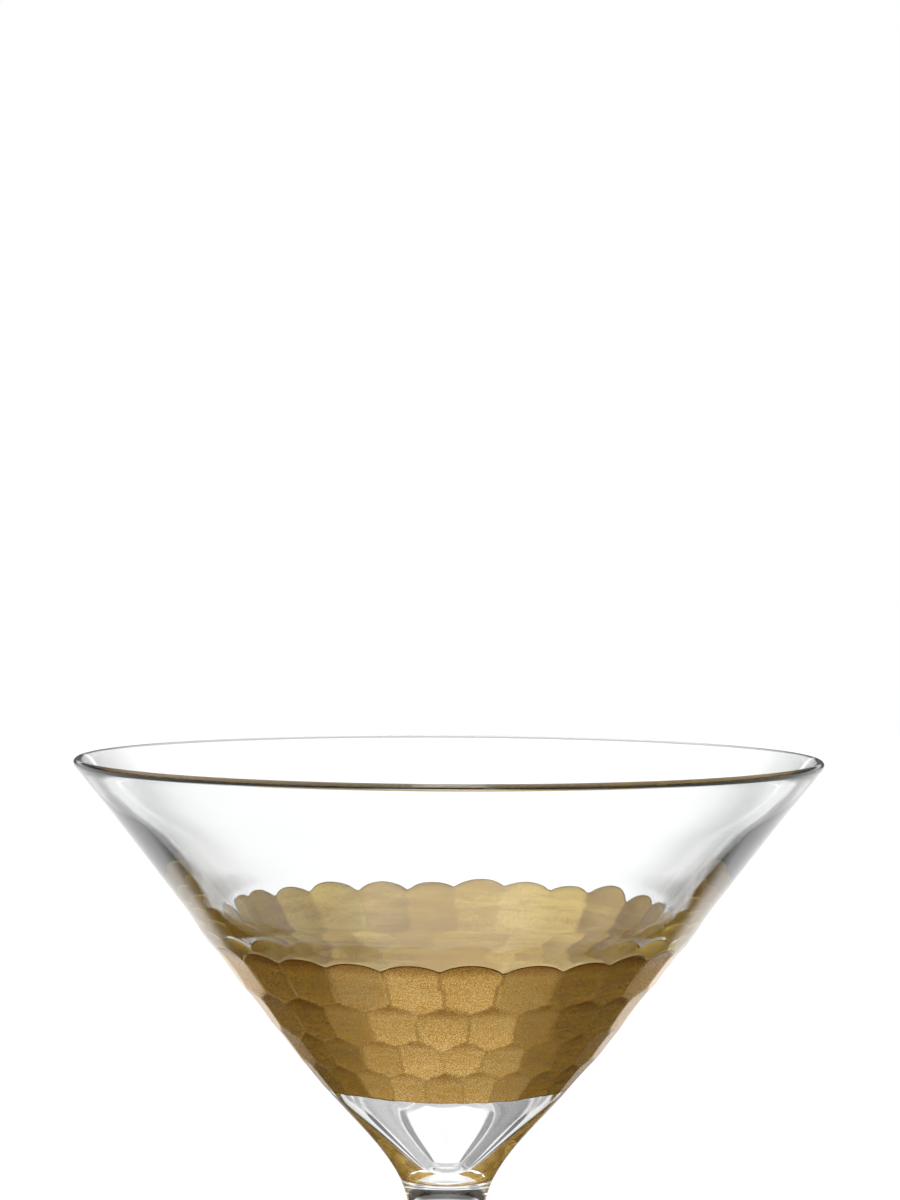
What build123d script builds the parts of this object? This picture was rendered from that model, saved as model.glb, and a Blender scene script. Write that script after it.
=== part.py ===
"""A martini glass with a clear V-shaped bowl, a band of gilded facets, a drawn stem and a round foot.

The glass is three gathers of glass fused end to end (bowl, stem and foot) and one skin of gold on
the ground facets.  +Z is up and the origin is the centre of the foot's base.  Lengths are in
millimetres.  Bowl depths are measured down from the rim.
"""

import os
from math import atan, cos, sin, sqrt

from build123d import *

# Overall sizes
overall_height = 171.5
foot_radius = 38.0

# Bowl: outer wall, a cone that flares a little at the lip
cone_top_radius = 57.6
wall_slope = 0.765
lip_centre_radius = 56.32
lip_half_width = 0.83
lip_drop = 0.75
lip_flare_depth = 3.0

# Bowl: belly, the clear wall from the gilding down to the stem, as (radius, depth)
belly_points = ((14.45, 55.1), (9.45, 61.2))

# Bowl: cavity, whose wall thickens from the lip down to a small round tip, as (radius, depth)
cavity_depth = 61.8
cavity_tip_radius = 3.3
cavity_tip_slope = 0.68
cavity_points = ((10.5, 50.0), (30.6, 30.0), (38.75, 20.5))
lip_inner_tangent = (1, 1.2)

# Fused joints, each a flat disc where two gathers of glass meet
bowl_joint_depth = 64.5
bowl_joint_radius = 7.25
bowl_joint_tangent = (-0.5, -1)
foot_joint_height = 9.0
foot_joint_radius = 7.4

# Stem: two curves that meet at the waist, shaped by control points (radius, height)
stem_waist_height = 82.0
stem_waist_radius = 4.5
stem_flare_control = (5.25, 103.0)
stem_upper_control = (stem_waist_radius, 96.0)
stem_lower_control = (stem_waist_radius, 50.0)
stem_base_control = (4.9, 15.0)

# Foot: a low cone with a rounded edge that stands on a ground ring
foot_edge_thickness = 2.4
foot_neck_control = (10.2, 5.2)
foot_slope_control = (20.0, 3.4)
ground_ring_inner_radius = 29.0
kick_up_height = 1.4

# Facets: rows of shallow scoops, flat across and hollow along the slant of the wall
facets_per_row = 26
facet_rows = ((31.0, 0.34), (37.1, 0.32), (42.9, 0.27), (47.6, 0.25))
first_facet_angle = -84.5
scoop_radius = 36.0
scoop_half_length = 7.2
scoop_half_width = 7.6
scoop_clearance = 0.8

# Gilding: the gold skin on the facets
gilding_thickness = 0.12
gilding_top_depth = 22.0
gilding_bottom_depth = 50.0
gilding_blank_thickness = 1.2
gilding_edge_inset = 0.02

wall_angle = atan(wall_slope)
facet_pitch = 360 / facets_per_row


def height(depth):
    """Height above the table of a level that is the given depth below the rim."""
    return overall_height - depth


def cone_radius(depth):
    """Radius of the outer cone at a depth below the rim."""
    return cone_top_radius - wall_slope * depth


def wall_point(depth, inset=0.0):
    """Profile point at a depth, moved into the wall along its normal by the inset."""
    return (cone_radius(depth) - inset * cos(wall_angle), height(depth) + inset * sin(wall_angle))


def scoop(depth, cut):
    """One scoop's cutting body, which sinks the given cut into the wall on the +X side."""
    centre = Vector(cone_radius(depth), 0, height(depth))
    up_the_wall = Vector(sin(wall_angle), 0, cos(wall_angle))
    rise = scoop_radius - sqrt(scoop_radius**2 - scoop_half_length**2)
    low_end = (-scoop_half_length, rise - cut)
    high_end = (scoop_half_length, rise - cut)
    with BuildPart(mode=Mode.PRIVATE) as cutter:
        with BuildSketch(Plane(origin=centre, x_dir=up_the_wall, z_dir=(0, 1, 0))):
            with BuildLine():
                ThreePointArc(low_end, (0, -cut), high_end)
                Polyline(
                    high_end,
                    (scoop_half_length, scoop_clearance),
                    (-scoop_half_length, scoop_clearance),
                    low_end,
                )
            make_face()
        extrude(amount=scoop_half_width, both=True)
    return cutter.part


def facet_scoops(extra_cut=0.0):
    """Each row's cutting body and its first angle; every other row is staggered by half a facet."""
    scoops = []
    for number, (depth, cut) in enumerate(facet_rows):
        start = first_facet_angle + (number % 2) * facet_pitch / 2
        scoops.append((scoop(depth, cut + extra_cut), start))
    return scoops


# Bowl
tip_angle = atan(cavity_tip_slope)
tip_arc_rise = cavity_tip_radius * (1 - sin(tip_angle))
tip_arc_end = (cavity_tip_radius * cos(tip_angle), height(cavity_depth) + tip_arc_rise)
lip_inner_point = (lip_centre_radius - lip_half_width, height(lip_drop))
lip_outer_point = (lip_centre_radius + lip_half_width, height(lip_drop))
with BuildPart() as bowl:
    with BuildSketch(Plane.XZ):
        with BuildLine():
            ThreePointArc(lip_inner_point, (lip_centre_radius, overall_height), lip_outer_point)
            Polyline(
                lip_outer_point,
                wall_point(lip_flare_depth),
                wall_point(gilding_bottom_depth),
            )
            Spline(
                wall_point(gilding_bottom_depth),
                *[(radius, height(depth)) for radius, depth in belly_points],
                (bowl_joint_radius, height(bowl_joint_depth)),
                tangents=[(-wall_slope, -1), bowl_joint_tangent],
            )
            Polyline(
                (bowl_joint_radius, height(bowl_joint_depth)),
                (0, height(bowl_joint_depth)),
                (0, height(cavity_depth)),
            )
            cavity_tip = TangentArc((0, height(cavity_depth)), tip_arc_end, tangent=(1, 0))
            Spline(
                tip_arc_end,
                *[(radius, height(depth)) for radius, depth in cavity_points],
                lip_inner_point,
                tangents=[cavity_tip % 1, lip_inner_tangent],
            )
        make_face()
    revolve(axis=Axis.Z)
    for cutter, start_angle in facet_scoops(gilding_thickness):
        with PolarLocations(0, facets_per_row, start_angle=start_angle):
            add(cutter, mode=Mode.SUBTRACT)

# Gilding
with BuildPart() as gilding:
    with BuildSketch(Plane.XZ):
        with BuildLine():
            Polyline(
                wall_point(gilding_top_depth, gilding_edge_inset),
                wall_point(gilding_bottom_depth, gilding_edge_inset),
                (cone_radius(gilding_bottom_depth) - gilding_blank_thickness, height(gilding_bottom_depth)),
                (cone_radius(gilding_top_depth) - gilding_blank_thickness, height(gilding_top_depth)),
                close=True,
            )
        make_face()
    revolve(axis=Axis.Z)
    for cutter, start_angle in facet_scoops():
        with PolarLocations(0, facets_per_row, start_angle=start_angle):
            add(cutter, mode=Mode.SUBTRACT)
    add(bowl.part, mode=Mode.SUBTRACT)

# Stem
with BuildPart() as stem:
    with BuildSketch(Plane.XZ):
        with BuildLine():
            Bezier(
                (bowl_joint_radius, height(bowl_joint_depth)),
                stem_flare_control,
                stem_upper_control,
                (stem_waist_radius, stem_waist_height),
            )
            Bezier(
                (stem_waist_radius, stem_waist_height),
                stem_lower_control,
                stem_base_control,
                (foot_joint_radius, foot_joint_height),
            )
            Polyline(
                (foot_joint_radius, foot_joint_height),
                (0, foot_joint_height),
                (0, height(bowl_joint_depth)),
                (bowl_joint_radius, height(bowl_joint_depth)),
            )
        make_face()
    revolve(axis=Axis.Z)

# Foot
edge_top = (foot_radius - foot_edge_thickness / 2, foot_edge_thickness)
edge_bottom = (foot_radius - foot_edge_thickness / 2, 0)
with BuildPart() as foot:
    with BuildSketch(Plane.XZ):
        with BuildLine():
            Bezier((foot_joint_radius, foot_joint_height), foot_neck_control, foot_slope_control, edge_top)
            ThreePointArc(edge_top, (foot_radius, foot_edge_thickness / 2), edge_bottom)
            Line(edge_bottom, (ground_ring_inner_radius, 0))
            TangentArc((0, kick_up_height), (ground_ring_inner_radius, 0), tangent=(1, 0))
            Polyline((0, kick_up_height), (0, foot_joint_height), (foot_joint_radius, foot_joint_height))
        make_face()
    revolve(axis=Axis.Z)

os.makedirs("parts", exist_ok=True)
bowl.part.label = "bowl"
export_step(bowl.part, "parts/bowl.step")
gilding.part.label = "gilding"
export_step(gilding.part, "parts/gilding.step")
stem.part.label = "stem"
export_step(stem.part, "parts/stem.step")
foot.part.label = "foot"
export_step(foot.part, "parts/foot.step")
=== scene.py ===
"""Looks for the martini glass: clear glass with a gilded band of ground facets.

Every piece is rebuilt in mesh code at the size the frame gives and replaces its CAD node. Lengths
are in metres; the names that end in _MM are in millimetres and are multiplied by MM where used.
Depths are measured down from the rim.
"""

import math
import random

import bpy
import numpy as np
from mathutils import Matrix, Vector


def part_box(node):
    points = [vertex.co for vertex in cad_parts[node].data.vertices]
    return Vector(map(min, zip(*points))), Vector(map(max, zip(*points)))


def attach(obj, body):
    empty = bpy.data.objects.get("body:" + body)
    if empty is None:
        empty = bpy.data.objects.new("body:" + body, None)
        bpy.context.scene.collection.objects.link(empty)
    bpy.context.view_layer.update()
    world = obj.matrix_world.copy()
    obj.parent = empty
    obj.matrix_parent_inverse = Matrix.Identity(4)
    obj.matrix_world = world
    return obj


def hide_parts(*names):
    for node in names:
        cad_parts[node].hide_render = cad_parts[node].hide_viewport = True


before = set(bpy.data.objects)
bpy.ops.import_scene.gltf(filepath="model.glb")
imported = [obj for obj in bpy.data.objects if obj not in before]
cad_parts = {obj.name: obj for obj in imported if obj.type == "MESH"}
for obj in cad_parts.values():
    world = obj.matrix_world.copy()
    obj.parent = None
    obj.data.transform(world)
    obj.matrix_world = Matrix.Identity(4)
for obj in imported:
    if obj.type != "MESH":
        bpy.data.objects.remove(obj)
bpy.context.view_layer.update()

MM = 0.001

# Sizes read from the frame
bowl_low, bowl_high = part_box("bowl")
foot_low, foot_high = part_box("foot")
RIM_HEIGHT = bowl_high.z
RIM_RADIUS = (bowl_high.x - bowl_low.x) / 2
BOWL_JOINT_HEIGHT = bowl_low.z
FOOT_JOINT_HEIGHT = foot_high.z
FOOT_RADIUS = (foot_high.x - foot_low.x) / 2

# The bowl's outer wall is a cone, and below the band it curves in to the stem
CONE_TOP_RADIUS = RIM_RADIUS + 0.45 * MM
WALL_SLOPE = 0.765
WALL_ANGLE = math.atan(WALL_SLOPE)
BELLY_START_DEPTH = 46.0 * MM
JOINT_RADIUS = 7.25 * MM

# Facets
FACETS_PER_ROW = 26
PITCH = math.tau / FACETS_PER_ROW
FACET_ROWS_MM = ((30.07, 0.34), (36.55, 0.32), (41.9, 0.27), (47.0, 0.25))
FIRST_FACET_ANGLE = math.radians(-84.5)
UPPER_SCOOP_RADIUS = 21.0 * MM
LOWER_SCOOP_RADIUS = 58.0 * MM
STEPS_PER_FACET = 14
STEPS_ROUND = FACETS_PER_ROW * STEPS_PER_FACET
RIDGE_SOFTNESS = 0.012 * MM

# How far a facet may stray from the regular grid, as standard deviations
ANGLE_SPREAD = 0.045 * PITCH
DEPTH_SPREAD = 0.12 * MM
CUT_SPREAD = 0.012 * MM
TILT_SPREAD = 0.010

FACET_SEED = 7
TONE_SEED = 100

# The reach of one facet, beyond which it can't be the deepest
REACH_ROUND = 1.6 * PITCH
REACH_DOWN = 9 * MM
NOT_CUT = -1.0

# The band of gold, and the depths between which its scalloped upper edge lies
BAND_END_DEPTH = 50.0 * MM
BAND_TOP_RANGE = (24.0 * MM, 29.9 * MM)
BAND_TOP_HALVINGS = 40
BAND_WANDER = 0.22 * MM
WANDER_CYCLES = (3, 5, 8, 13, 26, 31)
WANDER_SEED = 11
BAND_STEPS = 76
SKIN_THICKNESS = 0.12 * MM
SKIN_LIFT = 0.004 * MM
UPPER_FADE = 0.5 * MM
LOWER_FADE = 0.3 * MM


def depth_to_height(depth):
    return RIM_HEIGHT - depth


def cone_radius(depth):
    return CONE_TOP_RADIUS - WALL_SLOPE * depth


# ---------------------------------------------------------------- shapes


def smooth_step(value):
    value = np.clip(value, 0.0, 1.0)
    return value * value * (3 - 2 * value)


def bezier(points, steps):
    """Points along a cubic Bezier curve through the (radius, height) plane."""
    p = np.array(points, float)
    t = np.linspace(0, 1, steps)[:, None]
    start = (1 - t) ** 3 * p[0] + 3 * t * (1 - t) ** 2 * p[1]
    return start + 3 * t**2 * (1 - t) * p[2] + t**3 * p[3]


def facet_list():
    """Angle, depth, cut and two tilts of every facet, each a little off the regular grid."""
    rng = random.Random(FACET_SEED)
    facets = []
    for row, (depth, cut) in enumerate(FACET_ROWS_MM):
        for k in range(FACETS_PER_ROW):
            angle = FIRST_FACET_ANGLE + (k + 0.5 * (row % 2)) * PITCH
            facets.append(
                (
                    angle + rng.gauss(0, ANGLE_SPREAD),
                    depth * MM + rng.gauss(0, DEPTH_SPREAD),
                    cut * MM + rng.gauss(0, CUT_SPREAD),
                    rng.gauss(0, TILT_SPREAD),
                    rng.gauss(0, TILT_SPREAD),
                )
            )
    return np.array(facets)


FACETS = facet_list()
FACET_TONES = np.array([random.Random(TONE_SEED + i).random() for i in range(len(FACETS))])


def facet_field(angle, depth):
    """How far the facets sink below the blank along its normal, negative where nothing is cut.

    Also gives the deepest facet's tone, the place along it, and how far it lies below the next one.
    """
    angle, depth = np.broadcast_arrays(angle, depth)
    radius = cone_radius(depth)
    across_curve = math.cos(WALL_ANGLE) / (2 * radius)
    cuts, alongs = [], []
    for facet_angle, facet_depth, cut, tilt_across, tilt_along in FACETS:
        turn = np.angle(np.exp(1j * (angle - facet_angle)))
        across = turn * radius
        along = (depth - facet_depth) / math.cos(WALL_ANGLE)
        near = (np.abs(turn) < REACH_ROUND) & (np.abs(along) < REACH_DOWN)
        scoop_radius = np.where(along < 0, UPPER_SCOOP_RADIUS, LOWER_SCOOP_RADIUS)
        inset = cut - across**2 * across_curve - along**2 / (2 * scoop_radius)
        inset = inset + tilt_across * across + tilt_along * along
        cuts.append(np.where(near, inset, NOT_CUT))
        alongs.append(along)
    cuts = np.array(cuts)
    deepest = cuts.argmax(axis=0)
    top = cuts.max(axis=0)
    total = np.exp(np.clip((cuts - top) / RIDGE_SOFTNESS, -60, 0)).sum(axis=0)
    inset = top + RIDGE_SOFTNESS * np.log(total)
    second = np.sort(cuts, axis=0)[-2]
    along = np.take_along_axis(np.array(alongs), deepest[None], axis=0)[0]
    return inset, FACET_TONES[deepest], along, top - second


def band_top(angle):
    """Depth of the facets' scalloped upper edge at each angle."""
    low = np.full(angle.shape, BAND_TOP_RANGE[0])
    high = np.full(angle.shape, BAND_TOP_RANGE[1])
    for _ in range(BAND_TOP_HALVINGS):
        middle = (low + high) / 2
        cut = facet_field(angle, middle)[0] > 0
        high = np.where(cut, middle, high)
        low = np.where(cut, low, middle)
    return (low + high) / 2


def band_bottom(angle):
    """Depth of the painted lower edge, drawn by hand, so it wanders a little."""
    rng = random.Random(WANDER_SEED)
    wave = np.zeros(angle.shape)
    for cycles in WANDER_CYCLES:
        strength = rng.uniform(0.3, 1.0) / cycles**0.5
        wave += strength * np.sin(cycles * angle + rng.uniform(0, math.tau))
    return BAND_END_DEPTH + BAND_WANDER * wave


ANGLES = FIRST_FACET_ANGLE + PITCH / 2 + np.arange(STEPS_ROUND) * math.tau / STEPS_ROUND
BAND_TOP = band_top(ANGLES)
BAND_BOTTOM = band_bottom(ANGLES)

# Depths of the band's rings, from its upper edge to its lower one, as (ring, angle)
BAND_DEPTHS = BAND_TOP + (BAND_BOTTOM - BAND_TOP) * np.linspace(0, 1, BAND_STEPS)[:, None]
BAND_FIELD, BAND_TONE, BAND_ALONG, BAND_RIDGE = facet_field(ANGLES, BAND_DEPTHS)
BAND_INSET = np.maximum(BAND_FIELD, 0)

# The skin thins out to nothing at the band's two edges
SKIN_FADE = np.minimum(
    smooth_step((BAND_DEPTHS - BAND_TOP) / UPPER_FADE),
    smooth_step((BAND_BOTTOM - BAND_DEPTHS) / LOWER_FADE),
)

SWELL_DEPTHS_MM = (0.0, 22.5, 24.0, 26.5, 32.0, 44.0, 50.0, 60.0)
SWELL_MM = (0.0, 0.0, 0.08, 0.36, 0.36, 0.24, 0.0, 0.0)


def swell(depth):
    """The blank is a little thicker where the facets are ground."""
    return np.interp(depth / MM, SWELL_DEPTHS_MM, SWELL_MM) * MM


def on_cone(depth, inset):
    """Radius and height of points sunk by inset below the blank's outer wall."""
    inset = inset - swell(depth)
    radius = cone_radius(depth) - inset * math.cos(WALL_ANGLE)
    height = depth_to_height(depth) + inset * math.sin(WALL_ANGLE)
    return radius, height


def ring(radius, height):
    """One ring of points, whose radius and height are numbers or arrays over ANGLES."""
    radius = np.broadcast_to(radius, ANGLES.shape)
    height = np.broadcast_to(height, ANGLES.shape)
    return np.stack([radius * np.cos(ANGLES), radius * np.sin(ANGLES), height], axis=1)


def rings_of(profile):
    return [ring(radius, height) for radius, height in profile]


# Material slots: the glass pieces have a glass and a joint, the gilding an outer and an inner face
GLASS_SLOT = 0
JOINT_SLOT = 1
OUTER_SLOT = 0
INNER_SLOT = 1


def skin_mesh(name, rings, start_pole=None, end_pole=None, inner_from=None):
    """A mesh of quads between successive rings.

    A pole is a (height, slot) on the axis that a fan closes the mesh to; fans on a joint are shaded
    flat. With inner_from the last ring joins the first instead, and the bands between rings from that
    one on take the inner slot.
    """
    count = STEPS_ROUND
    j = np.arange(count)
    following = (j + 1) % count
    around = list(zip(j.tolist(), following.tolist()))
    pairs = [(i, i + 1) for i in range(len(rings) - 1)]
    if inner_from is not None:
        pairs.append((len(rings) - 1, 0))
    faces, slots, smooth = [], [], []
    for i, (first, second) in enumerate(pairs):
        a = first * count
        b = second * count
        faces.extend(np.stack([a + j, a + following, b + following, b + j], axis=1).tolist())
        inner = inner_from is not None and i >= inner_from
        slots.extend([INNER_SLOT if inner else OUTER_SLOT] * count)
        smooth.extend([True] * count)
    points = np.concatenate(rings).tolist()
    last = (len(rings) - 1) * count
    for pole, base, turned in ((start_pole, 0, True), (end_pole, last, False)):
        if pole is None:
            continue
        height, slot = pole
        tip = len(points)
        points.append((0.0, 0.0, height))
        for a, b in around:
            faces.append([tip, base + b, base + a] if turned else [tip, base + a, base + b])
        slots.extend([slot] * count)
        smooth.extend([slot != JOINT_SLOT] * count)
    mesh = bpy.data.meshes.new(name)
    mesh.from_pydata(points, [], faces)
    mesh.update()
    mesh.polygons.foreach_set("material_index", np.array(slots, np.int32))
    mesh.polygons.foreach_set("use_smooth", np.array(smooth))
    piece = bpy.data.objects.new(name, mesh)
    bpy.context.scene.collection.objects.link(piece)
    return piece


# ---------------------------------------------------------------- bowl

CAVITY_DEPTH = 61.8 * MM
CAVITY_BOTTOM_RADIUS = 3.3 * MM
CAVITY_START_SLOPE = -0.80
CAVITY_END_SLOPE = 0.68
CAVITY_KNOTS_MM = ((38.75, 20.5), (30.6, 30.0), (10.5, 50.0))
CAVITY_STEPS = 70
CAVITY_BOTTOM_STEPS = 20
LIP_RADIUS = 0.68 * MM
LIP_END_DEPTH = 9.0 * MM
LIP_STEPS = 25
LIP_BLEND_STEPS = 10
CLEAR_WALL_STEPS = 36
BELLY_CURVE_STEPS = 22
BELLY_STEPS = 26
BELLY_UPPER_HANDLE = 0.42
BELLY_LOWER_HANDLE = 0.33
BELLY_JOINT_SLOPE = 0.50
FACETS_END_DEPTH = 52.9 * MM
FIELD_END_DEPTH = 53 * MM


def lip_point(turn):
    """Point of the round lip; turn 0 faces outwards, a quarter turn faces up."""
    radius = RIM_RADIUS - LIP_RADIUS + LIP_RADIUS * math.cos(turn)
    return radius, LIP_RADIUS - LIP_RADIUS * math.sin(turn)


def cavity_profile():
    """Inner wall from the lip down to the axis."""
    end_angle = math.atan(CAVITY_END_SLOPE)
    end_radius = CAVITY_BOTTOM_RADIUS * math.cos(end_angle)
    end_depth = CAVITY_DEPTH - CAVITY_BOTTOM_RADIUS * (1 - math.sin(end_angle))
    lip = lip_point(math.pi - WALL_ANGLE)
    knots = [lip] + [(r * MM, d * MM) for r, d in CAVITY_KNOTS_MM] + [(end_radius, end_depth)]
    depths = np.linspace(lip[1], end_depth, CAVITY_STEPS)
    radii = through_knots(depths, np.array(knots), CAVITY_START_SLOPE, -CAVITY_END_SLOPE)
    points = [(r, depth_to_height(d)) for r, d in zip(radii, depths)]
    centre = depth_to_height(CAVITY_DEPTH) + CAVITY_BOTTOM_RADIUS
    for turn in np.linspace(math.pi / 2 - end_angle, 0, CAVITY_BOTTOM_STEPS)[1:-1]:
        across = CAVITY_BOTTOM_RADIUS * math.sin(turn)
        down = CAVITY_BOTTOM_RADIUS * math.cos(turn)
        points.append((across, centre - down))
    return points


def through_knots(x, knots, first_slope, last_slope):
    """Smooth piecewise cubic through (value, x) knots with the given end slopes."""
    values, xs = knots[:, 0], knots[:, 1]
    inner_slopes = (values[2:] - values[:-2]) / (xs[2:] - xs[:-2])
    slopes = np.concatenate([[first_slope], inner_slopes, [last_slope]])
    i = np.clip(np.searchsorted(xs, x) - 1, 0, len(xs) - 2)
    h = xs[i + 1] - xs[i]
    t = (x - xs[i]) / h
    return (
        (2 * t**3 - 3 * t**2 + 1) * values[i]
        + (t**3 - 2 * t**2 + t) * h * slopes[i]
        + (3 * t**2 - 2 * t**3) * values[i + 1]
        + (t**3 - t**2) * h * slopes[i + 1]
    )


def belly_profile():
    """Outer wall from the cone's end to the joint with the stem."""
    radius = cone_radius(BELLY_START_DEPTH)
    height = depth_to_height(BELLY_START_DEPTH)
    drop = height - BOWL_JOINT_HEIGHT
    upper = drop * BELLY_UPPER_HANDLE
    lower = drop * BELLY_LOWER_HANDLE
    return bezier(
        (
            (radius, height),
            (radius - WALL_SLOPE * upper, height - upper),
            (JOINT_RADIUS + BELLY_JOINT_SLOPE * lower, BOWL_JOINT_HEIGHT + lower),
            (JOINT_RADIUS, BOWL_JOINT_HEIGHT),
        ),
        BELLY_CURVE_STEPS,
    )


BELLY = belly_profile()


def belly_radius(height):
    return np.interp(-height, -BELLY[:, 1], BELLY[:, 0])


def belly_offset(depth):
    """How far the outer wall lies outside the cone at each depth; nothing above the belly."""
    offset = belly_radius(depth_to_height(depth)) - cone_radius(depth)
    return np.where(depth > BELLY_START_DEPTH, offset, 0)


def belly_rings():
    """Rings from the joint up to the band; the facets' ends die away below the painted edge."""
    rings = [ring(JOINT_RADIUS, BOWL_JOINT_HEIGHT)]
    for share in np.linspace(0, 1, BELLY_STEPS)[-2:0:-1]:
        depth = BAND_BOTTOM + (RIM_HEIGHT - BOWL_JOINT_HEIGHT - BAND_BOTTOM) * share
        height = depth_to_height(depth)
        field = facet_field(ANGLES, np.minimum(depth, FIELD_END_DEPTH))[0]
        cut = np.maximum(field, 0) * (depth < FACETS_END_DEPTH)
        rings.append(ring(belly_radius(height) - cut * math.cos(WALL_ANGLE), height))
    return rings


def band_rings():
    """The glass under the gold, from its lower edge up, half a skin below the facets' faces."""
    rings = []
    glass_inset = BAND_INSET + 0.5 * SKIN_THICKNESS * SKIN_FADE
    for depth, inset in zip(BAND_DEPTHS[::-1], glass_inset[::-1]):
        radius, height = on_cone(depth, inset)
        rings.append(ring(radius + belly_offset(depth), height))
    return rings


def clear_wall_rings():
    """Outer wall from the band up to where the lip begins."""
    share = np.linspace(0, 1, CLEAR_WALL_STEPS)[1:, None]
    depths = BAND_TOP + (LIP_END_DEPTH - BAND_TOP) * share
    return [ring(*on_cone(depth, 0.0)) for depth in depths]


def lip_profile():
    """From the outer wall, which swings out to meet the lip, over the lip to the inner wall."""
    points = []
    start_radius, start_depth = lip_point(-WALL_ANGLE)
    offset = start_radius - cone_radius(start_depth)
    for depth in np.linspace(LIP_END_DEPTH, start_depth, LIP_BLEND_STEPS)[1:-1]:
        t = (depth - start_depth) / (LIP_END_DEPTH - start_depth)
        radius = cone_radius(depth) + offset * (1 - t) ** 2 * (1 + 2 * t)
        points.append((radius, depth_to_height(depth)))
    for turn in np.linspace(-WALL_ANGLE, math.pi - WALL_ANGLE, LIP_STEPS):
        radius, depth = lip_point(turn)
        points.append((radius, depth_to_height(depth)))
    return points


def build_bowl():
    """Up the outside, over the lip and down the cavity, in one closed skin."""
    rings = belly_rings() + band_rings() + clear_wall_rings()
    rings += rings_of(lip_profile() + cavity_profile()[1:])
    low = (BOWL_JOINT_HEIGHT, JOINT_SLOT)
    cavity_bottom = (depth_to_height(CAVITY_DEPTH), GLASS_SLOT)
    return skin_mesh("bowl_glass", rings, start_pole=low, end_pole=cavity_bottom)


# ---------------------------------------------------------------- gilding


def build_gilding():
    """The gold skin: an outer face that follows the facets and an inner face just inside the glass."""
    outer, inner = [], []
    for k, depth in enumerate(BAND_DEPTHS):
        offset = belly_offset(depth)
        lift = SKIN_LIFT if 0 < k < BAND_STEPS - 1 else 0.0
        radius, height = on_cone(depth, BAND_INSET[k] - lift)
        outer.append(ring(radius + offset, height))
        radius, height = on_cone(depth, BAND_INSET[k] + SKIN_THICKNESS * SKIN_FADE[k] + lift)
        inner.append(ring(radius + offset, height))
    piece = skin_mesh("gilding_skin", outer[::-1] + inner[1:-1], inner_from=BAND_STEPS - 1)
    fields = {
        "tone": BAND_TONE,
        "along": BAND_ALONG / MM,
        "ridge": BAND_RIDGE / MM,
        "edge": (BAND_DEPTHS - BAND_TOP) / MM,
    }
    for name, values in fields.items():
        per_point = np.concatenate([values[::-1].ravel(), values[1:-1].ravel()])
        data = piece.data.attributes.new(name, "FLOAT", "POINT").data
        data.foreach_set("value", per_point.astype(np.float32))
    return piece


# ---------------------------------------------------------------- stem and foot

WAIST = (4.5 * MM, 82.0 * MM)
STEM_FLARE_HANDLE = (5.25 * MM, 103 * MM)
STEM_UPPER_HANDLE = (4.5 * MM, 96 * MM)
STEM_LOWER_HANDLE = (4.5 * MM, 50 * MM)
STEM_BASE_HANDLE = (4.9 * MM, 15 * MM)
FOOT_JOINT = (7.4 * MM, FOOT_JOINT_HEIGHT)
STEM_UPPER_STEPS = 24
STEM_LOWER_STEPS = 40

FOOT_EDGE_RADIUS = 1.2 * MM
FOOT_SLOPE_HANDLE = (20 * MM, 3.4 * MM)
FOOT_NECK_HANDLE = (10.2 * MM, 5.2 * MM)
FOOT_RING_RADIUS = 29.0 * MM
RECESS_RISE = 1.4 * MM
RECESS_START_RADIUS = 1.5 * MM
RECESS_STEPS = 16
FOOT_EDGE_STEPS = 13
FOOT_TOP_STEPS = 40


def stem_profile():
    """Radius and height from the joint with the foot up to the joint with the bowl."""
    bowl_joint = (JOINT_RADIUS, BOWL_JOINT_HEIGHT)
    upper = bezier((bowl_joint, STEM_FLARE_HANDLE, STEM_UPPER_HANDLE, WAIST), STEM_UPPER_STEPS)
    lower = bezier((WAIST, STEM_LOWER_HANDLE, STEM_BASE_HANDLE, FOOT_JOINT), STEM_LOWER_STEPS)
    return np.concatenate([upper, lower[1:]])[::-1]


def build_stem():
    low = (FOOT_JOINT_HEIGHT, JOINT_SLOT)
    high = (BOWL_JOINT_HEIGHT, JOINT_SLOT)
    return skin_mesh("stem_glass", rings_of(stem_profile()), start_pole=low, end_pole=high)


def build_foot():
    """Hollowed underside, round edge, and the slope up to the stem."""
    edge = FOOT_EDGE_RADIUS
    radii = np.linspace(RECESS_START_RADIUS, FOOT_RING_RADIUS, RECESS_STEPS)
    recess = [(r, RECESS_RISE * (1 - (r / FOOT_RING_RADIUS) ** 2)) for r in radii]
    turns = np.linspace(-math.pi / 2, math.pi / 2, FOOT_EDGE_STEPS)[:-1]
    rim = [(FOOT_RADIUS - edge + edge * math.cos(a), edge + edge * math.sin(a)) for a in turns]
    slope_start = (FOOT_RADIUS - edge, 2 * edge)
    slope = bezier((slope_start, FOOT_SLOPE_HANDLE, FOOT_NECK_HANDLE, FOOT_JOINT), FOOT_TOP_STEPS)
    rings = rings_of(recess + rim + [tuple(point) for point in slope])
    low = (RECESS_RISE, GLASS_SLOT)
    high = (FOOT_JOINT_HEIGHT, JOINT_SLOT)
    return skin_mesh("foot_glass", rings, start_pole=low, end_pole=high)


# ---------------------------------------------------------------- materials


def new_material(name):
    material = bpy.data.materials.new(name)
    material.use_nodes = True
    nodes, links = material.node_tree.nodes, material.node_tree.links
    nodes.clear()
    output = nodes.new("ShaderNodeOutputMaterial")
    return material, nodes, links, output


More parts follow.
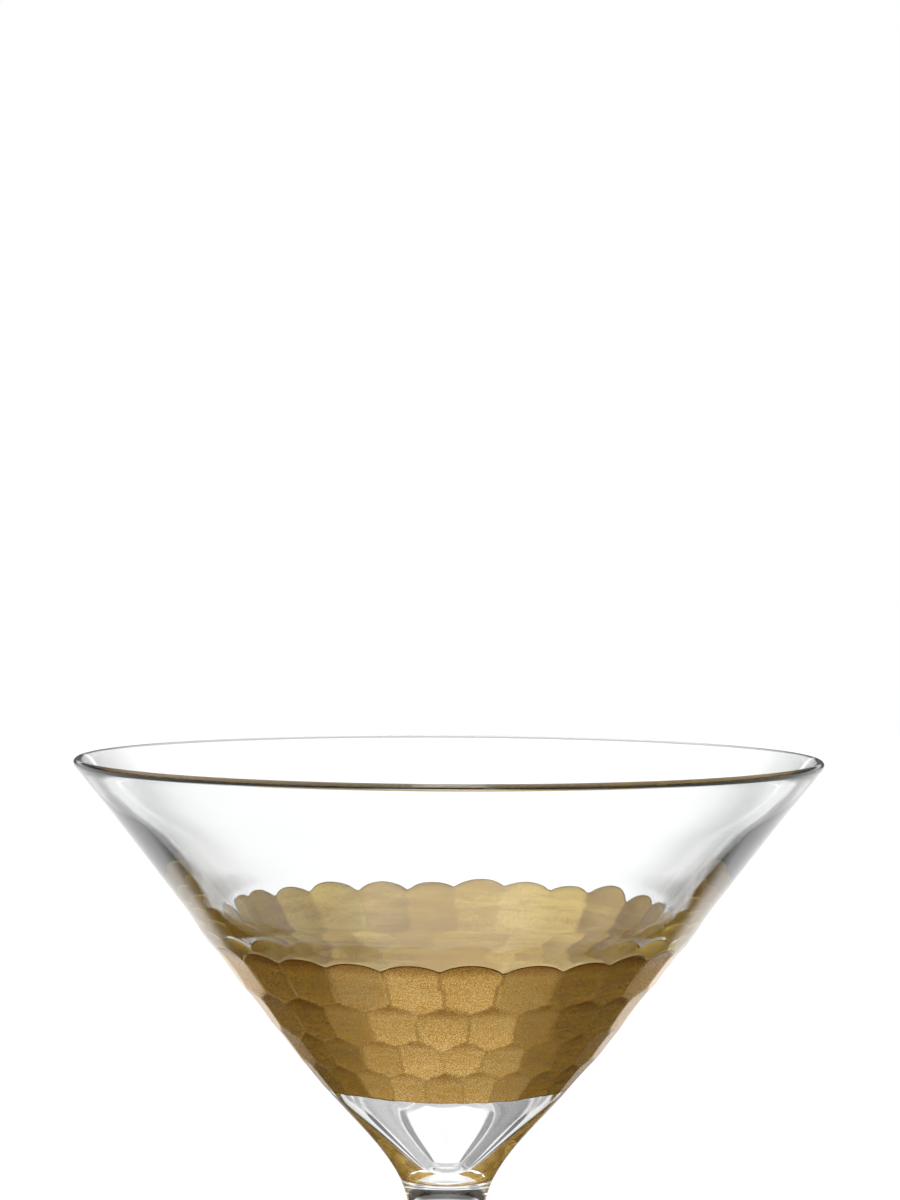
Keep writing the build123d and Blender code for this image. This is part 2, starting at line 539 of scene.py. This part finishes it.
def noise(nodes, links, scale, detail=3.0, roughness=0.5, shift=None):
    """Noise over object space; scale is one number or one per axis, in cycles per metre."""
    place = nodes.new("ShaderNodeTexCoord")
    where = place.outputs["Object"]
    if shift is not None:
        moved = nodes.new("ShaderNodeVectorMath")
        moved.operation = "ADD"
        links.new(where, moved.inputs[0])
        links.new(shift, moved.inputs[1])
        where = moved.outputs["Vector"]
    stretch = nodes.new("ShaderNodeMapping")
    stretch.inputs["Scale"].default_value = scale if isinstance(scale, tuple) else (scale,) * 3
    texture = nodes.new("ShaderNodeTexNoise")
    texture.inputs["Scale"].default_value = 1.0
    texture.inputs["Detail"].default_value = detail
    texture.inputs["Roughness"].default_value = roughness
    links.new(where, stretch.inputs["Vector"])
    links.new(stretch.outputs["Vector"], texture.inputs["Vector"])
    return texture.outputs["Fac"]


def attribute(nodes, name):
    node = nodes.new("ShaderNodeAttribute")
    node.attribute_name = name
    return node.outputs["Fac"]


def math_node(nodes, links, operation, *values):
    node = nodes.new("ShaderNodeMath")
    node.operation = operation
    for socket, value in zip(node.inputs, values):
        if isinstance(value, (int, float)):
            socket.default_value = value
        else:
            links.new(value, socket)
    return node.outputs["Value"]


def blend_of(nodes, links, *parts):
    """Sum of (value, weight) pairs."""
    total = None
    for value, weight in parts:
        if total is None:
            total = math_node(nodes, links, "MULTIPLY", value, weight)
        else:
            total = math_node(nodes, links, "MULTIPLY_ADD", value, weight, total)
    return total


def remap(nodes, links, value, low, high, to_low, to_high):
    """Takes low..high smoothly to to_low..to_high, and holds the ends outside it."""
    node = nodes.new("ShaderNodeMapRange")
    node.interpolation_type = "SMOOTHSTEP"
    node.inputs["From Min"].default_value = low
    node.inputs["From Max"].default_value = high
    node.inputs["To Min"].default_value = to_low
    node.inputs["To Max"].default_value = to_high
    links.new(value, node.inputs["Value"])
    return node.outputs["Result"]


def ramp(nodes, links, value, stops):
    node = nodes.new("ShaderNodeValToRGB")
    while len(node.color_ramp.elements) < len(stops):
        node.color_ramp.elements.new(0.5)
    for element, (position, colour) in zip(node.color_ramp.elements, stops):
        element.position = position
        element.color = (*colour, 1)
    links.new(value, node.inputs["Fac"])
    return node.outputs["Color"]


def tint(nodes, links, factor, colour, by):
    """Multiplies a colour by another, as far as factor says."""
    node = nodes.new("ShaderNodeMix")
    node.data_type = "RGBA"
    node.blend_type = "MULTIPLY"
    links.new(factor, node.inputs["Factor"])
    links.new(colour, node.inputs["A"])
    node.inputs["B"].default_value = (*by, 1)
    return node.outputs["Result"]


def bump(nodes, links, height, distance, under=None):
    node = nodes.new("ShaderNodeBump")
    node.inputs["Distance"].default_value = distance
    node.inputs["Strength"].default_value = 1.0
    links.new(height, node.inputs["Height"])
    if under is not None:
        links.new(under, node.inputs["Normal"])
    return node.outputs["Normal"]


GLASS_IOR = 1.5
GLASS_CLOUD = ((0.3, (0.975, 0.985, 0.982)), (0.7, (0.992, 0.996, 0.995)))


def clear_glass():
    """Clear glass, faintly clouded and wavy, with a trace of drawn streaks."""
    material, nodes, links, output = new_material("clear_glass")
    shader = nodes.new("ShaderNodeBsdfPrincipled")
    shader.inputs["IOR"].default_value = GLASS_IOR
    shader.inputs["Transmission Weight"].default_value = 1.0
    shader.inputs["Roughness"].default_value = 0.0
    cloud = noise(nodes, links, 60.0, 2.0)
    links.new(ramp(nodes, links, cloud, GLASS_CLOUD), shader.inputs["Base Color"])
    wave = noise(nodes, links, (70.0, 70.0, 45.0), 1.5)
    streak = noise(nodes, links, (160.0, 160.0, 30.0), 2.0)
    normal = bump(nodes, links, wave, 0.025 * MM)
    normal = bump(nodes, links, streak, 0.005 * MM, under=normal)
    links.new(normal, shader.inputs["Normal"])
    links.new(shader.outputs["BSDF"], output.inputs["Surface"])
    return material


def fused_joint():
    """The disc inside the glass where two pieces are fused, which doesn't show."""
    material, nodes, links, output = new_material("fused_joint")
    shader = nodes.new("ShaderNodeBsdfTransparent")
    links.new(shader.outputs["BSDF"], output.inputs["Surface"])
    return material


BINDER = (0.36, 0.165, 0.002)
LEAF = (0.56, 0.365, 0.12)
BRIGHT_LEAF = (0.64, 0.455, 0.19)
FLAKE_COLOURS = ((0.45, BINDER), (0.70, LEAF), (1.0, BRIGHT_LEAF))
# Painted shade on the top of each facet, and a painted highlight on its lower part
PAINTED_TOP_SHADE = (0.60, 0.48, 0.30)
PAINTED_FOOT_HIGHLIGHT = (1.14, 1.15, 1.2)
BORDER_TINT = (0.20, 0.13, 0.05)
SEAM_TINT = (0.74, 0.68, 0.56)


def gold_outside():
    """Flakes of gold leaf in a brown binder, brushed on the facets, with painted shade darkening the top
    of each one and a painted highlight lightening its lower part.

    The mesh gives the tone of each facet, the millimetres along it, the millimetres from the band's
    upper edge and the depth below the next facet.
    """
    material, nodes, links, output = new_material("gold_outside")
    shader = nodes.new("ShaderNodeBsdfPrincipled")
    tone = attribute(nodes, "tone")
    strokes = noise(nodes, links, (150.0, 150.0, 1700.0), 6.0, 0.66, shift=tone)
    grain = noise(nodes, links, 6000.0, 3.0, 0.65)
    patches = noise(nodes, links, (300.0, 300.0, 480.0), 3.0, 0.6, shift=tone)
    mixed = blend_of(nodes, links, (grain, 0.85), (strokes, 0.12), (patches, 0.03), (tone, 0.012))
    flake = remap(nodes, links, mixed, 0.40, 0.58, 0.14, 1.0)
    colour = ramp(nodes, links, flake, FLAKE_COLOURS)
    along = attribute(nodes, "along")
    # Painted shade: the top of each facet is darkened
    upper = remap(nodes, links, along, -3.4, -0.6, 1.0, 0.0)
    colour = tint(nodes, links, upper, colour, PAINTED_TOP_SHADE)
    # Painted highlight: the lower part of each facet is lightened
    lower = remap(nodes, links, along, 0.5, 4.5, 0.0, 1.0)
    colour = tint(nodes, links, lower, colour, PAINTED_FOOT_HIGHLIGHT)
    border = remap(nodes, links, attribute(nodes, "edge"), 0.05, 0.36, 1.0, 0.0)
    colour = tint(nodes, links, border, colour, BORDER_TINT)
    seam = remap(nodes, links, attribute(nodes, "ridge"), 0.0, 0.025, 1.0, 0.0)
    colour = tint(nodes, links, seam, colour, SEAM_TINT)
    links.new(colour, shader.inputs["Base Color"])
    links.new(flake, shader.inputs["Metallic"])
    shader.inputs["Specular IOR Level"].default_value = 0.25
    shader.inputs["Specular Tint"].default_value = (0.95, 0.78, 0.50, 1)
    links.new(remap(nodes, links, grain, 0.3, 0.7, 0.17, 0.30), shader.inputs["Roughness"])
    glance = nodes.new("ShaderNodeLayerWeight")
    glance.inputs["Blend"].default_value = 0.5
    glitter = remap(nodes, links, glance.outputs["Facing"], 0.56, 0.84, 0.0, 0.6)
    links.new(glitter, shader.inputs["Coat Weight"])
    shader.inputs["Coat Roughness"].default_value = 0.18
    shader.inputs["Coat IOR"].default_value = 1.7
    normal = bump(nodes, links, strokes, 0.04 * MM)
    normal = bump(nodes, links, grain, 0.012 * MM, under=normal)
    links.new(normal, shader.inputs["Normal"])
    links.new(shader.outputs["BSDF"], output.inputs["Surface"])
    return material


SATIN_COLOURS = (
    (0.48, (0.43, 0.265, 0.060)),
    (0.63, (0.52, 0.345, 0.085)),
    (0.78, (0.66, 0.48, 0.130)),
)
SATIN_SEAM_TINT = (0.80, 0.74, 0.64)


def gold_inside():
    """The same leaf seen through the wall: a smoother satin that differs more from facet to facet."""
    material, nodes, links, output = new_material("gold_inside")
    shader = nodes.new("ShaderNodeBsdfPrincipled")
    strokes = noise(nodes, links, (90.0, 90.0, 900.0), 4.0, 0.55)
    grain = noise(nodes, links, 2600.0, 2.0)
    tone = attribute(nodes, "tone")
    mixed = blend_of(nodes, links, (grain, 0.4), (strokes, 0.6), (tone, 0.26))
    colour = ramp(nodes, links, mixed, SATIN_COLOURS)
    seam = remap(nodes, links, attribute(nodes, "ridge"), 0.0, 0.03, 1.0, 0.0)
    colour = tint(nodes, links, seam, colour, SATIN_SEAM_TINT)
    links.new(colour, shader.inputs["Base Color"])
    shader.inputs["Metallic"].default_value = 0.55
    shader.inputs["Specular IOR Level"].default_value = 0.2
    shader.inputs["Roughness"].default_value = 0.30
    normal = bump(nodes, links, strokes, 0.02 * MM)
    links.new(normal, shader.inputs["Normal"])
    links.new(shader.outputs["BSDF"], output.inputs["Surface"])
    return material


FLOOR_MOTTLE = ((0.3, (0.92, 0.92, 0.92)), (0.7, (0.96, 0.96, 0.96)))


def floor_paint():
    """Matt white studio floor with a faint mottle."""
    material, nodes, links, output = new_material("studio_floor")
    shader = nodes.new("ShaderNodeBsdfPrincipled")
    mottle = noise(nodes, links, 9.0, 4.0)
    links.new(ramp(nodes, links, mottle, FLOOR_MOTTLE), shader.inputs["Base Color"])
    shader.inputs["Roughness"].default_value = 0.7
    shader.inputs["Specular IOR Level"].default_value = 0.2
    links.new(shader.outputs["BSDF"], output.inputs["Surface"])
    return material


# ---------------------------------------------------------------- stage, light and camera


def build_rectangle(name, half_width, half_length, height, material):
    """A flat rectangle, level and centred on the axis, for the stage."""
    x, y, z = half_width, half_length, height
    mesh = bpy.data.meshes.new(name)
    mesh.from_pydata([(-x, -y, z), (x, -y, z), (x, y, z), (-x, y, z)], [], [(0, 1, 2, 3)])
    mesh.materials.append(material)
    rectangle = bpy.data.objects.new(name, mesh)
    bpy.context.scene.collection.objects.link(rectangle)
    return rectangle


# The floor lies a little below the foot, so that the two faces don't coincide
FLOOR_HALF_SIZE = 3.0
FLOOR_DROP = 0.3 * MM


def build_floor():
    floor = build_rectangle("floor", FLOOR_HALF_SIZE, FLOOR_HALF_SIZE, -FLOOR_DROP, floor_paint())


CLOTH_COLOUR = (0.012, 0.012, 0.012, 1)

# Each cloth's share is how much light it stops where it is full
FLAG_CENTRE = 0.135
FLAG_BEHIND = 0.075
FLAG_HEIGHT = 1.0 * MM
FLAG_HALF_SIZE = (0.125, 0.20)
FLAG_SHARES = (("flag_left", -1, 0.50), ("flag_right", 1, 0.70))
FLAG_FADE = 0.4

BACK_FLAG_PLACE = (0, 0.36, 1.5 * MM)
BACK_FLAG_HALF_SIZE = (0.17, 0.19)
BACK_FLAG_SHARE = 0.5
BACK_FLAG_FADE = 0.5

NECK_CARD_PLACE = (0, 0.40, 0.19)
NECK_CARD_HALF_SIZE = (0.32, 0.05)
NECK_CARD_SHARE = 0.85
NECK_CARD_FADE = 0.4

# Degrees from straight behind the glass, and half the width in degrees
STEM_CARDS = ((27, 9), (68, 15), (118, 11), (158, 15))
STEM_CARD_DISTANCE = 0.30
STEM_CARD_HEIGHT = 0.050
STEM_CARD_HALF_HEIGHT = 0.056
STEM_CARD_SHARE = 0.8
STEM_CARD_FADE = 0.35

APRON_INNER_RADIUS = 0.078
APRON_OUTER_RADIUS = 0.36
APRON_INNER_FADE = 0.03
APRON_OUTER_FADE = 0.12
APRON_HEIGHT = 2.0 * MM
APRON_SHARE = 0.99


def black_cloth(name, share, outer, outer_fade, inner=0.0, inner_fade=0.0):
    """Black cloth that thins out softly towards its edges, by distance from its object's origin."""
    material, nodes, links, output = new_material(name)
    place = nodes.new("ShaderNodeTexCoord")
    length = nodes.new("ShaderNodeVectorMath")
    length.operation = "LENGTH"
    links.new(place.outputs["Object"], length.inputs[0])
    distance = length.outputs["Value"]
    dark = remap(nodes, links, distance, outer - outer_fade, outer, share, 0.0)
    if inner > 0:
        opened = remap(nodes, links, distance, inner, inner + inner_fade, 0.0, 1.0)
        dark = math_node(nodes, links, "MULTIPLY", dark, opened)
    black = nodes.new("ShaderNodeBsdfDiffuse")
    black.inputs["Color"].default_value = CLOTH_COLOUR
    clear = nodes.new("ShaderNodeBsdfTransparent")
    mix = nodes.new("ShaderNodeMixShader")
    links.new(dark, mix.inputs["Fac"])
    links.new(clear.outputs["BSDF"], mix.inputs[1])
    links.new(black.outputs["BSDF"], mix.inputs[2])
    links.new(mix.outputs["Shader"], output.inputs["Surface"])
    return material


def build_cloth(name, half_width, half_length, place, material):
    """A cloth that only reflected and refracted rays meet: not the camera, and no shadow."""
    cloth = build_rectangle(name, half_width, half_length, 0, material)
    cloth.location = place
    cloth.visible_camera = False
    cloth.visible_diffuse = False
    cloth.visible_shadow = False
    return cloth


def build_oval(name, half_size, place, material):
    """A cloth whose fading edge is an ellipse."""
    oval = build_cloth(name, 1, 1, place, material)
    oval.scale = (*half_size, 1)
    return oval


def build_flags():
    """Flags on the floor at both sides and behind, which darken the glass's edges and its base."""
    for name, side, share in FLAG_SHARES:
        cloth = black_cloth(name + "_cloth", share, 1.0, FLAG_FADE)
        build_oval(name, FLAG_HALF_SIZE, (side * FLAG_CENTRE, FLAG_BEHIND, FLAG_HEIGHT), cloth)
    cloth = black_cloth("flag_back_cloth", BACK_FLAG_SHARE, 1.0, BACK_FLAG_FADE)
    build_oval("flag_back", BACK_FLAG_HALF_SIZE, BACK_FLAG_PLACE, cloth)


def build_neck_card():
    """An upright card behind, which darkens the neck."""
    cloth = black_cloth("card_cloth", NECK_CARD_SHARE, 1.0, NECK_CARD_FADE)
    card = build_oval("flag_card", NECK_CARD_HALF_SIZE, NECK_CARD_PLACE, cloth)
    card.rotation_euler = (math.pi / 2, 0, 0)


def build_stem_cards():
    """Upright cards all round, seen only through glass, which draw dark lines in the stem."""
    cloth = black_cloth("side_card_cloth", STEM_CARD_SHARE, 1.0, STEM_CARD_FADE)
    reach = STEM_CARD_DISTANCE
    for k, (turn, half_turn) in enumerate(STEM_CARDS):
        for side, side_name in ((-1, "right"), (1, "left")):
            angle = math.pi / 2 + side * math.radians(turn)
            place = (reach * math.cos(angle), reach * math.sin(angle), STEM_CARD_HEIGHT)
            half_size = (reach * math.radians(half_turn), STEM_CARD_HALF_HEIGHT)
            card = build_oval(f"flag_side_{k}_{side_name}", half_size, place, cloth)
            card.rotation_euler = (math.pi / 2, 0, angle + math.pi / 2)
            card.visible_glossy = False


def build_apron():
    """A ring of cloth round the foot, seen only in reflections, which darkens the gold's side facets."""
    outer = APRON_OUTER_RADIUS
    cloth = black_cloth(
        "apron_cloth", APRON_SHARE, outer, APRON_OUTER_FADE, APRON_INNER_RADIUS, APRON_INNER_FADE
    )
    apron = build_cloth("apron", outer, outer, (0, 0, APRON_HEIGHT), cloth)
    apron.visible_transmission = False


# Heights in the surround are sines of the angle above the horizon
BACKDROP_TOP = math.sin(math.radians(10))
GAP_START = math.sin(math.radians(11.8))
GAP_END = math.sin(math.radians(20))
CEILING_START = math.sin(math.radians(34))
GAP_LIGHT = 0.08
CEILING_LIGHT = 1.0
SOFTBOX_DIRECTION = (-0.34, -0.16, 0.925)
SOFTBOX_LIGHT = 0.75
SOFTBOX_EDGE = math.cos(math.radians(62))
SOFTBOX_CORE = math.cos(math.radians(36))


def build_world():
    """A white backdrop all round, a dark gap above it, a white ceiling and one softbox overhead."""
    world = bpy.data.worlds.new("studio")
    bpy.context.scene.world = world
    world.use_nodes = True
    nodes, links = world.node_tree.nodes, world.node_tree.links
    place = nodes.new("ShaderNodeTexCoord")
    split = nodes.new("ShaderNodeSeparateXYZ")
    links.new(place.outputs["Generated"], split.inputs["Vector"])
    height = split.outputs["Z"]
    backdrop = remap(nodes, links, height, BACKDROP_TOP, GAP_START, 1.0 - GAP_LIGHT, 0.0)
    ceiling = remap(nodes, links, height, GAP_END, CEILING_START, GAP_LIGHT, CEILING_LIGHT)
    surround = math_node(nodes, links, "ADD", backdrop, ceiling)
    toward = nodes.new("ShaderNodeVectorMath")
    toward.operation = "DOT_PRODUCT"
    links.new(place.outputs["Generated"], toward.inputs[0])
    toward.inputs[1].default_value = SOFTBOX_DIRECTION
    box = remap(nodes, links, toward.outputs["Value"], SOFTBOX_EDGE, SOFTBOX_CORE, 0.0, SOFTBOX_LIGHT)
    light = math_node(nodes, links, "ADD", surround, box)
    background = nodes["Background"]
    background.inputs["Color"].default_value = (1, 1, 1, 1)
    links.new(light, background.inputs["Strength"])


CAMERA_DISTANCE = 0.485
CAMERA_RISE = 31.6 * MM
CAMERA_LENS = 95.1
SENSOR_WIDTH = 36.0
CAMERA_PITCH = math.radians(0.896)
CAMERA_ROLL = math.radians(-0.3)
CLIP_START = 0.01


def build_camera():
    data = bpy.data.cameras.new("camera")
    data.lens = CAMERA_LENS
    data.sensor_width = SENSOR_WIDTH
    data.clip_start = CLIP_START
    camera = bpy.data.objects.new("camera", data)
    bpy.context.scene.collection.objects.link(camera)
    camera.location = (0, -CAMERA_DISTANCE, RIM_HEIGHT + CAMERA_RISE)
    camera.rotation_euler = (math.pi / 2 - CAMERA_PITCH, CAMERA_ROLL, 0)
    bpy.context.scene.camera = camera


# ---------------------------------------------------------------- the glass

glass = clear_glass()
joint = fused_joint()
pieces = {
    "bowl": (build_bowl(), (glass, joint), "clear_glass"),
    "gilding": (build_gilding(), (gold_outside(), gold_inside()), "gold"),
    "stem": (build_stem(), (glass, joint), "clear_glass"),
    "foot": (build_foot(), (glass, joint), "clear_glass"),
}
for node, (piece, materials, slot) in pieces.items():
    for material in materials:
        piece.data.materials.append(material)
    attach(piece, "root")
    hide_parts(node)

build_floor()
build_flags()
build_neck_card()
build_stem_cards()
build_apron()
build_world()
build_camera()

scene = bpy.context.scene
scene.view_settings.view_transform = "Standard"
scene.cycles.max_bounces = 24
scene.cycles.transmission_bounces = 24
scene.cycles.glossy_bounces = 12
scene.cycles.transparent_max_bounces = 24
